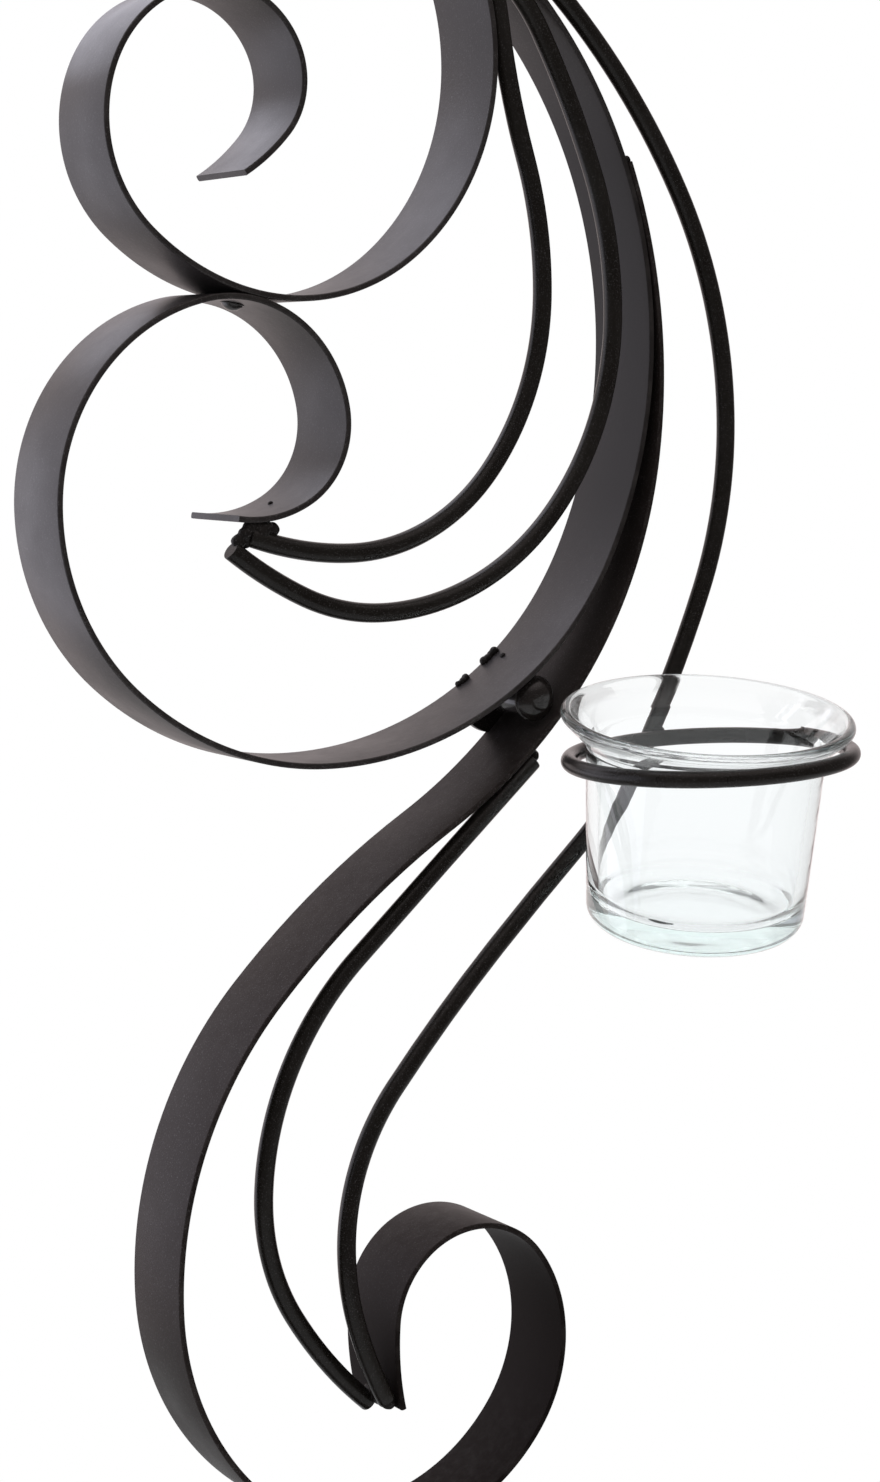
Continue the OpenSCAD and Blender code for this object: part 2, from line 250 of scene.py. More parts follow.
def makeDullShadePatch():
    tree, given, result = newGroup("dullShadePatch", "ShaderNodeTree", [
        ("Vector", "Vector", None),
        ("Colour", "Color", darkIron),
        ("Roughness", "Float", 0.4),
        ("Middle", "Vector", (0, 0, 0)),
        ("Reach", "Float", 0.06),
        ("Painted Shade Colour", "Color", (0.006, 0.0045, 0.004, 1)),
        ("Dull Roughness", "Float", 0.65),
    ], [("Colour", "Color"), ("Roughness", "Float")])
    away = addNode(tree, "ShaderNodeVectorMath", operation="DISTANCE")
    link(tree, given, "Vector", away, 0)
    link(tree, given, "Middle", away, 1)
    share = worked(tree, "DIVIDE", away, "Value", given, "Reach")
    # inside the mask the darker colour is painted shade; the higher roughness is a duller finish
    mask = ranged(tree, share, 0, *dullShadeFade, soft=True)
    tint = tinted(tree, mask, "Result", given, "Painted Shade Colour")
    link(tree, tint, "Result_Color", result, "Colour")
    rough = mixed(tree, "FLOAT", mask, "Result")
    link(tree, given, "Roughness", rough, "A_Float")
    link(tree, given, "Dull Roughness", rough, "B_Float")
    link(tree, rough, "Result_Float", result, "Roughness")
    return tree


powderCoat = makePowderCoat(powder)
dullShadePatch = makeDullShadePatch()
edgeRub = makeEdgeRub(edgeWear)
settledDust = makeSettledDust(dustWear)

# one powder coat on all the ironwork, satin on the strips, blacker and glossier on rods and fixings; the main
# strip's is darker and reflects less, partly its own browner tone and partly painted shade
coats = {
    "stripCoat": {"colour": (0.0125, 0.01, 0.0096, 1), "cloud": (0.018, 0.015, 0.0145, 1),
                  "roughness": 0.4, "peel": 1000, "cloudScale": 45, "bump": 0.12, "specular": 0.27,
                  "rub": 0.12, "dust": 0.1,
                  # this patch's darker colour is painted shade; it is also duller
                  "dullShade": {"middle": (0.045, -0.0095, 0.075), "reach": 0.065,
                           "colour": (0.01, 0.008, 0.0075, 1), "roughness": 0.6}},
    # a darker, less reflective and warmer-reflecting copy of stripCoat: partly the main strip's own browner
    # tone, partly painted shade
    "mainCoatShaded": {"colour": (0.0095, 0.0072, 0.0066, 1), "cloud": (0.0145, 0.0115, 0.0106, 1),
                 "roughness": 0.43, "peel": 1000, "cloudScale": 45, "bump": 0.12, "specular": 0.11,
                 "sheen": (1.0, 0.86, 0.84, 1), "rub": 0.12, "dust": 0.08,
                 # this patch about the bottom coil is painted shade in its darker colour, and duller
                 "dullShade": {"middle": (-0.012, -0.0095, -0.147), "reach": 0.041,
                          "colour": (0.0045, 0.0032, 0.0028, 1), "roughness": 0.7}},
    "rodCoat": {"colour": (0.0062, 0.005, 0.004, 1), "cloud": (0.0095, 0.008, 0.0066, 1),
                "roughness": 0.27, "peel": 1300, "cloudScale": 70, "bump": 0.06, "specular": 0.2,
                "rub": 0, "dust": 0.05},
    "fixingCoat": {"colour": (0.0075, 0.0058, 0.005, 1), "cloud": (0.012, 0.0098, 0.0088, 1),
                   "roughness": 0.22, "peel": 1500, "cloudScale": 120, "bump": 0.06, "specular": 0.42,
                   "rub": 0, "dust": 0.05},
    "sleeveCoat": {"colour": (0.012, 0.0095, 0.0088, 1), "cloud": (0.02, 0.017, 0.016, 1), "roughness": 0.2,
                   "peel": 1500, "cloudScale": 120, "bump": 0.05, "specular": 0.6, "rub": 0, "dust": 0.05},
    "weldCoat": {"colour": (0.006, 0.0048, 0.0042, 1), "cloud": (0.011, 0.009, 0.008, 1),
                 "roughness": 0.45, "peel": 900, "cloudScale": 300, "bump": 0.2, "specular": 0.14,
                 "rub": 0, "dust": 0.08},
}
peelDepth = 0.0002
noTint = (1, 1, 1, 1)


# a shader group at the object's own coordinates, laid over what another one gives
def layer(tree, group, where, values, under=None, labels=()):
    node = addNode(tree, "ShaderNodeGroup", values, node_tree=group)
    link(tree, where, "Object", node, "Vector")
    for label in labels:
        link(tree, under, label, node, label)
    return node


def makeCoatMaterial(name, coat):
    material, tree = newMaterial(name)
    where = addNode(tree, "ShaderNodeTexCoord")
    skin = layer(tree, powderCoat, where, {
        "Colour": coat["colour"], "Cloud Colour": coat["cloud"], "Roughness": coat["roughness"],
        "Peel Scale": coat["peel"], "Cloud Scale": coat["cloudScale"]})
    coloured = roughened = skin
    # the patch lays painted shade, a darker colour, over the coat and raises its roughness
    if "dullShade" in coat:
        dullShade = coat["dullShade"]
        coloured = roughened = layer(tree, dullShadePatch, where, {
            "Middle": dullShade["middle"], "Reach": dullShade["reach"], "Painted Shade Colour": dullShade["colour"],
            "Dull Roughness": dullShade["roughness"]}, skin, ("Colour", "Roughness"))
    if coat["rub"] > 0:
        coloured = layer(tree, edgeRub, where, {"Amount": coat["rub"]}, coloured, ("Colour",))
    dust = layer(tree, settledDust, where, {"Amount": coat["dust"]}, coloured, ("Colour",))
    bump = addNode(tree, "ShaderNodeBump", {"Strength": coat["bump"], "Distance": peelDepth})
    link(tree, skin, "Height", bump, "Height")
    shader = addNode(tree, "ShaderNodeBsdfPrincipled", {
        "Specular IOR Level": coat["specular"], "Specular Tint": coat.get("sheen", noTint)})
    link(tree, dust, "Colour", shader, "Base Color")
    link(tree, roughened, "Roughness", shader, "Roughness")
    link(tree, bump, "Normal", shader, "Normal")
    output = addNode(tree, "ShaderNodeOutputMaterial")
    link(tree, shader, "BSDF", output, "Surface")
    return material


# clear pressed glass, faintly wavy and smeared, going pale aqua where it is thick;
# its thin lip and its foot show more of what is behind them
cupGlass = {"colour": (0.988, 0.995, 1.0, 1), "ior": 1.42, "wave": 0.06, "waveScale": 90, "waveDepth": 0.001,
            "smear": {"Scale": 45, "Detail": 4, "Roughness": 0.6}, "smears": (0.5, 0.8, 0.0, 0.05),
            "depthColour": (0.45, 0.93, 0.88, 1), "depth": 7, "clear": 1.0, "clearLip": 0.72, "lipDepth": 3.2,
            "clearBase": 0.84, "baseDepth": 7.0, "fadeFrom": 0.6}


def makeGlass(name, glass, place, height):
    material, tree = newMaterial(name)
    where = addNode(tree, "ShaderNodeTexCoord")
    wave = addNode(tree, "ShaderNodeTexNoise", {"Scale": glass["waveScale"], "Detail": 2})
    link(tree, where, "Object", wave, "Vector")
    smear = addNode(tree, "ShaderNodeTexNoise", glass["smear"])
    link(tree, where, "Object", smear, "Vector")
    gloss = ranged(tree, smear, "Fac", *glass["smears"])
    bump = addNode(tree, "ShaderNodeBump", {"Strength": glass["wave"], "Distance": glass["waveDepth"]})
    link(tree, wave, "Fac", bump, "Height")
    shader = addNode(tree, "ShaderNodeBsdfPrincipled",
                     {"Base Color": glass["colour"], "IOR": glass["ior"], "Transmission Weight": 1.0})
    link(tree, gloss, "Result", shader, "Roughness")
    link(tree, bump, "Normal", shader, "Normal")
    # the height of a point along the leaning cup
    up = place.to_3x3() @ Vector((0, 0, 1))
    above = addNode(tree, "ShaderNodeVectorMath", {"Vector_001": up}, operation="DOT_PRODUCT")
    link(tree, where, "Object", above, 0)
    top = up.dot(place @ Vector((0, 0, height))) * mm
    bottom = up.dot(place.translation) * mm
    lipDepth, baseDepth = glass["lipDepth"] * mm, glass["baseDepth"] * mm
    lip = ranged(tree, above, "Value", top - lipDepth, top - lipDepth * glass["fadeFrom"],
                 glass["clear"], glass["clearLip"], soft=True)
    base = ranged(tree, above, "Value", bottom + baseDepth * glass["fadeFrom"], bottom + baseDepth,
                  glass["clearBase"], glass["clear"], soft=True)
    clear = worked(tree, "MINIMUM", lip, "Result", base, "Result")
    link(tree, clear, 0, shader, "Alpha")
    tint = addNode(tree, "ShaderNodeVolumeAbsorption",
                   {"Color": glass["depthColour"], "Density": glass["depth"]})
    output = addNode(tree, "ShaderNodeOutputMaterial")
    link(tree, shader, "BSDF", output, "Surface")
    link(tree, tint, "Volume", output, "Volume")
    return material


materials = {name: makeCoatMaterial(name, coat) for name, coat in coats.items()}
print("coats made:", ", ".join(materials))

# the path of every strip and rod is a run of plain bends in the plane of the wall;
# a place is (x, z, heading) in millimetres and degrees, a bend is (radius, turn)
ironwork = {"stripWidth": 19.0, "stripThickness": 1.2, "stripCorner": 0.4, "rodDiameter": 3.8,
            "studGap": 10.0, "weldGap": 0.1, "middleHeading": 36, "mainHeading": 47, "tipHold": 2.7,
            "hair": 0.03, "step": 1.5}  # hair is left between strips, step is the turn from point to point
rodRadius = ironwork["rodDiameter"] / 2
rodDepth = ironwork["stripWidth"] - rodRadius
rodSide = ironwork["stripThickness"] / 2 + rodRadius + ironwork["weldGap"]
halfGap = ironwork["studGap"] / 2 + ironwork["stripThickness"] / 2


def turned(place, bend):
    x, z, heading = place
    radius = math.copysign(bend[0], bend[1])
    a = math.radians(heading)
    b = math.radians(heading + bend[1])
    return (x - radius * math.sin(a) + radius * math.sin(b),
            z + radius * math.cos(a) - radius * math.cos(b), heading + bend[1])


def about(place):
    return (place[0], place[1], place[2] + 180)


def beside(place, distance):
    a = math.radians(place[2])
    return (place[0] + distance * math.sin(a), place[1] - distance * math.cos(a), place[2])


def ahead(place, distance):
    a = math.radians(place[2])
    return (place[0] + distance * math.cos(a), place[1] + distance * math.sin(a), place[2])


def poseAt(place, bends):
    for bend in bends:
        place = turned(place, bend)
    return place


# the place on a path where it has turned by this angle
def partWay(place, bends, angle):
    for bend in bends[:-1]:
        if abs(angle) <= abs(bend[1]):
            return turned(place, (bend[0], angle))
        place = turned(place, bend)
        angle -= bend[1]
    return turned(place, (bends[-1][0], angle))


# the one bend that leaves a place and arrives at a point
def bendTo(place, point):
    x, z = point[0] - place[0], point[1] - place[1]
    a = math.radians(place[2])
    onward = x * math.cos(a) + z * math.sin(a)
    off = z * math.cos(a) - x * math.sin(a)
    return ((x * x + z * z) / (2 * abs(off)), math.degrees(2 * math.atan2(off, onward)))


# two bends that leave one place and arrive at the next, with equally long tangents
def meet(start, end):
    leaving = Vector((math.cos(math.radians(start[2])), math.sin(math.radians(start[2]))))
    arriving = Vector((math.cos(math.radians(end[2])), math.sin(math.radians(end[2]))))
    gap = Vector((end[0] - start[0], end[1] - start[1]))
    spread = 1 - leaving.dot(arriving)
    onward = gap.dot(leaving + arriving)
    tangent = (math.sqrt(onward * onward + 2 * spread * gap.dot(gap)) - onward) / (2 * spread)
    joint = (Vector(start[:2]) + Vector(end[:2]) + tangent * (leaving - arriving)) / 2
    last = bendTo(about(end), joint)
    return [bendTo(start, joint), (last[0], -last[1])]


def through(places):
    bends = []
    for start, end in zip(places, places[1:]):
        bends += meet(start, end)
    return bends


# a path drawn both ways from one place, as one run from its far end
def whole(back, on):
    return [(radius, -angle) for radius, angle in reversed(back)] + list(on)


def walk(place, bends, step):
    places = [place]
    for bend in bends:
        count = max(2, math.ceil(abs(bend[1]) / step))
        places += [turned(place, (bend[0], bend[1] * i / count)) for i in range(1, count + 1)]
        place = turned(place, bend)
    return places


bendsOf = {
    "middleUp": [(66, 28), (96, 82)],
    "middleRound": [(76, -38), (63, -40), (46.5, -47), (39, -78), (25, -93), (17, -71), (24, -38)],
    "upperUp": [(43, 50), (47.5, 80)],
    "upperRound": [(47, -30), (26.5, -75), (24, -60), (17.5, -67), (15, -68), (40, -17)],
    "mainDown": [(110, -17), (180, 16), (80, 46), (58.5, 67), (39.5, 74), (31.5, 75), (19.5, 67), (18.5, 71),
                 (62, 16.5)],
}
# how far a strip has turned, in degrees, where another piece meets or leaves it
meetsAt = {"rivet": -227.5, "step": 76, "innerTop": 121, "innerLeaves": 110.2, "middleTop": 106,
           "outerTop": 107, "lowerTop": -5}
middleStart = beside((0, 0, ironwork["middleHeading"]), -halfGap)
mainStart = beside((0, 0, ironwork["mainHeading"]), halfGap)
scrollJoint = partWay(about(middleStart), bendsOf["middleRound"], meetsAt["rivet"])
upperStart = beside(scrollJoint, -ironwork["stripThickness"])
mainTop = beside(partWay(middleStart, bendsOf["middleUp"], meetsAt["step"]),
                 ironwork["stripThickness"] + ironwork["hair"])
bendsOf["mainUp"] = meet(mainStart, mainTop)
middleTop = poseAt(middleStart, bendsOf["middleUp"])
middleTip = poseAt(about(middleStart), bendsOf["middleRound"])
upperTop = poseAt(upperStart, bendsOf["upperUp"])
upperTip = poseAt(about(upperStart), bendsOf["upperRound"])
mainTip = poseAt(about(mainStart), bendsOf["mainDown"])
# the rods meet the main strip just before its tip
hold = ahead(mainTip, -ironwork["tipHold"])

strips = {
    "upperScroll": {"node": "upper_scroll", "coat": "stripCoat", "start": about(upperTip),
                    "bends": whole(bendsOf["upperRound"], bendsOf["upperUp"])},
    "middleScroll": {"node": "middle_scroll", "coat": "stripCoat", "start": about(middleTip),
                     "bends": whole(bendsOf["middleRound"], bendsOf["middleUp"])},
    "mainScroll": {"node": "main_scroll", "coat": "mainCoatShaded", "start": about(mainTip),
                   "bends": whole(bendsOf["mainDown"], bendsOf["mainUp"])},
}
ringJoint = (27.78, -9.35, -119)  # on the outer rod
# the rods lie along the strips at their tops before they leave them
rods = {
    "innerRod": {"node": "inner_rod", "places": [
        beside(about(partWay(upperStart, bendsOf["upperUp"], meetsAt["innerTop"])), -rodSide),
        beside(about(partWay(upperStart, bendsOf["upperUp"], meetsAt["innerLeaves"])), -rodSide),
        (0.85, 81.3, -90), (-44, 30.8, -180), (-66.3, 34.6, -199)]},
    "middleRod": {"node": "middle_rod", "places": [
        beside(about(partWay(middleStart, bendsOf["middleUp"], meetsAt["middleTop"])), rodSide),
        (0.06, 132, -59.6), (18.3, 76.8, -90), (-37, 19, -180), (-70.2, 32.2, -217)]},
    "outerRod": {"node": "outer_rod", "places": [
        beside(about(partWay(middleStart, bendsOf["middleUp"], meetsAt["outerTop"])), -rodSide),
        (1.76, 142, -40.4), (47.75, 53, -90), ringJoint,
        (-10, -50, -136), (-45.5, -107, -90), (hold[0] - rodSide, hold[1] - 0.5, -62)]},
    "lowerRod": {"node": "lower_rod", "places": [
        beside(partWay(about(mainStart), bendsOf["mainDown"], meetsAt["lowerTop"]), -rodSide),
        (-61.5, -95, -90), (hold[0] - rodSide + 0.5, hold[1] - 3.6, -42)]},
}


# a path as a chain of edges, with a size for the section at each point
def pathMesh(name, points, sizes, closed=False):
    mesh = bpy.data.meshes.new(name)
    edges = [(i, i + 1) for i in range(len(points) - 1)]
    if closed:
        edges.append((len(points) - 1, 0))
    mesh.from_pydata([Vector(p) * mm for p in points], edges, [])
    size = mesh.attributes.new("sectionSize", "FLOAT", "POINT")
    size.data.foreach_set("value", sizes)
    return mesh


# Geometry Nodes: a section swept along the path; the strip's is a rounded bar, the rod's is round
sections = {
    "barSweep": {"sizes": {"Width": ironwork["stripWidth"], "Thickness": ironwork["stripThickness"],
                           "Corner": ironwork["stripCorner"]}, "sides": 4, "crease": 0.2},
    "rodSweep": {"sizes": {"Radius": rodRadius}, "sides": 28, "crease": 0.6},
}


def makeSweepTree(name, section):
    flat = "Width" in section["sizes"]
    tree, given, result = newGroup(
        name, "GeometryNodeTree",
        [("Geometry", "Geometry", None)] +
        [(label, "Float", size * mm) for label, size in section["sizes"].items()] +
        [("Sides", "Int", section["sides"]), ("Crease", "Float", section["crease"]),
         ("Material", "Material", None)],
        [("Geometry", "Geometry")])
    curve = addNode(tree, "GeometryNodeMeshToCurve")
    link(tree, given, "Geometry", curve, "Mesh")
    steady = addNode(tree, "GeometryNodeSetCurveNormal", {"Normal": (0, 1, 0)},
                     mode="FREE" if flat else "MINIMUM_TWIST")
    link(tree, curve, 0, steady, "Curve")
    if flat:
        bar = addNode(tree, "GeometryNodeCurvePrimitiveQuadrilateral", mode="RECTANGLE")
        link(tree, given, "Width", bar, "Width")
        link(tree, given, "Thickness", bar, "Height")
        profile = addNode(tree, "GeometryNodeFilletCurve", mode="POLY")
        link(tree, bar, "Curve", profile, "Curve")
        link(tree, given, "Corner", profile, "Radius")
        link(tree, given, "Sides", profile, "Count")
    else:
        profile = addNode(tree, "GeometryNodeCurvePrimitiveCircle", mode="RADIUS")
        link(tree, given, "Radius", profile, "Radius")
        link(tree, given, "Sides", profile, "Resolution")
    size = addNode(tree, "GeometryNodeInputNamedAttribute", {"Name": "sectionSize"}, data_type="FLOAT")
    swept = addNode(tree, "GeometryNodeCurveToMesh", {"Fill Caps": True})
    link(tree, steady, "Curve", swept, "Curve")
    link(tree, profile, "Curve", swept, "Profile Curve")
    link(tree, size, "Attribute", swept, "Scale")
    # faces shade as one along the bends and stay crisp at the corners
    angle = addNode(tree, "GeometryNodeInputMeshEdgeAngle")
    sharp = addNode(tree, "FunctionNodeCompare", data_type="FLOAT", operation="GREATER_THAN")
    link(tree, angle, "Unsigned Angle", sharp, "A")
    link(tree, given, "Crease", sharp, "B")
    smooth = addNode(tree, "GeometryNodeSetShadeSmooth", {"Shade Smooth": True}, domain="FACE")
    link(tree, swept, "Mesh", smooth, "Geometry")
    crisp = addNode(tree, "GeometryNodeSetShadeSmooth", {"Shade Smooth": False}, domain="EDGE")
    link(tree, smooth, "Geometry", crisp, "Geometry")
    link(tree, sharp, "Result", crisp, "Selection")
    real = addNode(tree, "GeometryNodeRealizeInstances")
    link(tree, crisp, "Geometry", real, "Geometry")
    coat = addNode(tree, "GeometryNodeSetMaterial")
    link(tree, real, "Geometry", coat, "Geometry")
    link(tree, given, "Material", coat, "Material")
    link(tree, coat, "Geometry", result, "Geometry")
    return tree


def settled(source, name, material):
    # the evaluated shape becomes a plain mesh of its own
    depsgraph = bpy.context.evaluated_depsgraph_get()
    mesh = bpy.data.meshes.new_from_object(source.evaluated_get(depsgraph))
    mesh.name = name
    mesh.materials.clear()
    mesh.materials.append(material)
    bpy.data.objects.remove(source)
    return newObject(name, mesh)


sameSpot = 1e-7  # metres


def faceOutward(shape):
    bmesh.ops.recalc_face_normals(shape, faces=shape.faces)
    if shape.calc_volume(signed=True) < 0:
        bmesh.ops.reverse_faces(shape, faces=shape.faces)


def outward(obj):
    shape = bmesh.new()
    shape.from_mesh(obj.data)
    bmesh.ops.remove_doubles(shape, verts=shape.verts, dist=sameSpot)
    faceOutward(shape)
    shape.to_mesh(obj.data)
    shape.free()


def sweep(name, tree, points, sizes, section, material, closed=False):
    source = newObject(name + "Path", pathMesh(name + "Path", points, sizes, closed))
    modifier = source.modifiers.new("sweep", "NODES")
    modifier.node_group = tree
    inputs = {label: size * mm for label, size in section["sizes"].items()}
    inputs["Crease"] = section["crease"]
    inputs["Material"] = material
    for item in tree.interface.items_tree:
        if item.in_out == "INPUT" and item.name in inputs:
            modifier[item.identifier] = inputs[item.name]
    piece = settled(source, name, material)
    outward(piece)
    return piece


def dress(piece, body, slot, *nodes):
    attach(piece, body)
    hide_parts(*nodes)


barSweep = makeSweepTree("barSweep", sections["barSweep"])
rodSweep = makeSweepTree("rodSweep", sections["rodSweep"])

for name, strip in strips.items():
    places = walk(strip["start"], strip["bends"], ironwork["step"])
    points = [(x, -ironwork["stripWidth"] / 2, z) for x, z, heading in places]
    piece = sweep(name, barSweep, points, [1.0] * len(points), sections["barSweep"], materials[strip["coat"]])
    dress(piece, "body", "strips", strip["node"])
print("strips swept:", ", ".join(strips))

# the cut end of a rod is a little rounded over: (distance from the end, share of the full size)
cutEnd = ((0.0, 0.91), (0.07, 0.97), (0.2, 1.0))


def rodPoints(places, leanBack=0.0):
    path = walk(places[0], through(places), ironwork["step"])
    lean = math.radians(leanBack)
    top = path[0][1]
    points = [Vector((x, -rodDepth - math.sin(lean) * (z - top), top + math.cos(lean) * (z - top)))
              for x, z, heading in path]
    sizes = [1.0] * len(points)
    for end in ("last", "first"):
        points.reverse()
        sizes.reverse()
        inward = (points[1] - points[0]).normalized()
        points = [points[0] + inward * distance for distance, share in cutEnd] + points[1:]
        sizes = [share for distance, share in cutEnd] + sizes[1:]
    return points, sizes


# the lower rod leans back, from the front of the strips at its top to their middle at its foot
lowerPlaces = rods["lowerRod"]["places"]
lowerDrop = lowerPlaces[0][1] - lowerPlaces[-1][1]
lowerLean = math.degrees(math.atan((rodDepth - ironwork["stripWidth"] / 2) / lowerDrop))
for name, rod in rods.items():
    points, sizes = rodPoints(rod["places"], lowerLean if name == "lowerRod" else 0.0)
    piece = sweep(name, rodSweep, points, sizes, sections["rodSweep"], materials["rodCoat"])
    dress(piece, "body", "rods", rod["node"])
print("rods swept:", ", ".join(rods))

# the wire ring and the leaning glass cup in it
ring = {"outside": 59.0, "wire": 3.3, "swing": 13.7, "droop": 0.8, "roll": 2.7, "steps": 144}
wireRadius = ring["wire"] / 2
ringRadius = ring["outside"] / 2 - wireRadius
ringReach = ringRadius + wireRadius + rodRadius + ironwork["weldGap"]


def rotation(degrees, axis):
    return Matrix.Rotation(math.radians(degrees), 4, axis)


def onCircle(radius, i, count, z=0.0):
    angle = 2 * math.pi * i / count
    return Vector((radius * math.cos(angle), radius * math.sin(angle), z))


# the middle of the ring, its Y pointing back to the joint with the outer rod
ringPlace = (Matrix.Translation((ringJoint[0], -rodDepth, ringJoint[1])) @ rotation(-ring["swing"], "Z") @
             rotation(ring["droop"], "X") @ rotation(-ring["roll"], "Y") @
             Matrix.Translation((0, -ringReach, 0)))
points = [ringPlace @ onCircle(ringRadius, i, ring["steps"]) for i in range(ring["steps"])]
wireSection = {"sizes": {"Radius": wireRadius}, "crease": sections["rodSweep"]["crease"]}
cupRing = sweep("cupRing", rodSweep, points, [1.0] * len(points), wireSection, materials["rodCoat"],
                closed=True)
dress(cupRing, "body", "rods", "cup_ring")
print("ring swept")


def meshOf(name, shape):
    mesh = bpy.data.meshes.new(name)
    shape.to_mesh(mesh)
    shape.free()
    return mesh


# a closed shape turned about Z from a half outline; points on the axis close it
def lathe(name, outline, turns, material, place):
    shape = bmesh.new()
    rows = []
    for r, z in outline:
        count = turns if r > 0 else 1
        rows.append([shape.verts.new(place @ onCircle(r, i, count, z) * mm) for i in range(count)])
    pairs = list(zip(rows, rows[1:]))
    if outline[0][0] > 0:
        pairs.append((rows[-1], rows[0]))
    for low, high in pairs:
        for i in range(turns):
            j = (i + 1) % turns
            if len(low) == 1:
                shape.faces.new((low[0], high[i], high[j]))
            elif len(high) == 1:
                shape.faces.new((low[i], high[0], low[j]))
            else:
                shape.faces.new((low[i], high[i], high[j], low[j]))
    faceOutward(shape)
    mesh = meshOf(name, shape)
    mesh.materials.append(material)
    mesh.shade_smooth()
    return newObject(name, mesh)


# points along a small bend between two angles, for the rounded places in an outline
def corner(centre, radius, start, end, count=8):
    angles = [math.radians(start + (end - start) * i / count) for i in range(count + 1)]
    return [(centre[0] + radius * math.cos(a), centre[1] + radius * math.sin(a)) for a in angles]


# points along a line, its ends left out
def between(p, q, count):
    return [(p[0] + (q[0] - p[0]) * i / count, p[1] + (q[1] - p[1]) * i / count) for i in range(1, count)]


# the punt is the hollow under the foot, its shape (radius, share of its depth); the floor's rise is
# (radius, height)
cup = {"rim": 58.2, "height": 44.3, "base": 43.8, "wall": 2.0, "floor": 5.0, "flare": 5.4, "foot": 4.0,
       "lip": 1.1, "innerCorner": 4.2, "punt": 0.8,
       "puntShape": ((0, 1.0), (8, 0.9), (13, 0.45), (15.5, 0.15), (16.6, 0.0)),
       "floorRise": ((12, 0.05), (6, 0.22), (0, 0.3)), "neckEnd": 1.6, "neckBend": 2.2, "neckDrop": 0.9,
       "innerBend": 3.4, "innerDrop": 0.4, "lean": 9.5, "twist": 8.8, "clearance": 0.1, "backGap": 0.3,
       "turns": 160}
cup["neckHeight"] = cup["height"] - cup["flare"] - cup["wall"] / math.sqrt(2)


def cupOutline(c):
    rimRadius, baseRadius = c["rim"] / 2, c["base"] / 2
    neckRadius = rimRadius - c["flare"]
    neckHeight = c["neckHeight"]
    lipCentre = (rimRadius - c["lip"], c["height"] - c["lip"])
    # outside, from the middle of the base up to the lip
    outline = [(r, c["punt"] * share) for r, share in c["puntShape"]]
    outline += corner((baseRadius - c["foot"], c["foot"]), c["foot"], -90, -2, 12)
    outline += between(outline[-1], (neckRadius, neckHeight - c["neckEnd"]), 12)
    outline += corner((neckRadius + c["neckBend"], neckHeight - c["neckDrop"]), c["neckBend"], 178, 135, 6)
    outline += corner(lipCentre, c["lip"], -45, 180, 16)
    # inside, down the flare and the wall to the floor
    innerNeck = neckRadius - c["wall"]
    outline += corner((innerNeck + c["innerBend"], neckHeight - c["innerDrop"]), c["innerBend"], 140, 180, 6)
    low = (baseRadius - c["wall"], c["floor"] + c["innerCorner"])
    outline += between(outline[-1], low, 12)
    outline += corner((low[0] - c["innerCorner"], low[1]), c["innerCorner"], 0, -82, 8)
    outline += [(r, c["floor"] + rise) for r, rise in c["floorRise"]]
    return outline


# the cup's flare or its lip rests on the wire in front, and its neck is close to the wire behind
def cupSeat(c):
    lean = math.radians(c["lean"])
    lip = c["wall"] / 2
    neckRadius = c["rim"] / 2 - c["flare"]
    shift = ringRadius * math.cos(lean) - wireRadius - neckRadius - c["clearance"] - c["backGap"]
    wireOut = ringRadius * math.cos(lean) + shift
    onFlare = (c["height"] - c["neckHeight"] + math.sqrt(2) * (wireRadius + c["clearance"]) -
               (wireOut - neckRadius))
    reach = (wireRadius + lip + c["clearance"]) ** 2 - (wireOut - c["rim"] / 2 + lip) ** 2
    onLip = lip + math.sqrt(max(0, reach))
    above = max(onFlare, onLip) + ringRadius * math.sin(lean)
    return (ringPlace @ rotation(c["twist"], "Z") @ rotation(c["lean"], "X") @
            Matrix.Translation((0, shift, above - c["height"])))


cupPlace = cupSeat(cup)
materials["cupGlass"] = makeGlass("cupGlass", cupGlass, cupPlace, cup["height"])
glassCup = lathe("glassCup", cupOutline(cup), cup["turns"], materials["cupGlass"], cupPlace)
dress(glassCup, "cup", "glass", "glass_cup")
print("glass cup turned")

# the middle stud on the wall plate: shank, spacer sleeve and domed head
stud = {"head": 9.4, "rise": 3.4, "headEdge": 0.45, "shank": 4.4, "shankEdge": 0.4, "shoulder": 0.25,
        "sleeve": 7.2, "sleeveEdge": 0.35, "slip": 0.02, "plate": 1.6, "turns": 72}
outFromWall = rotation(90, "X")


# how the rounded edge of a dome runs into its ball
domeEdge = {"inset": 0.35, "end": 15, "steps": 5}


# from the edge of the flat side over the top to the axis
def domeOutline(radius, rise, edge, count=14):
    ball = (radius * radius + rise * rise) / (2 * rise)
    startAngle = math.asin((radius - edge * domeEdge["inset"]) / ball)
    outline = corner((radius - edge, edge), edge, -90, domeEdge["end"], domeEdge["steps"])
    for i in range(count + 1):
        a = startAngle * (1 - i / count)
        outline.append((ball * math.sin(a), rise - ball + ball * math.cos(a)))
    outline[-1] = (0, rise)
    return [p for p in outline if p[1] >= 0]


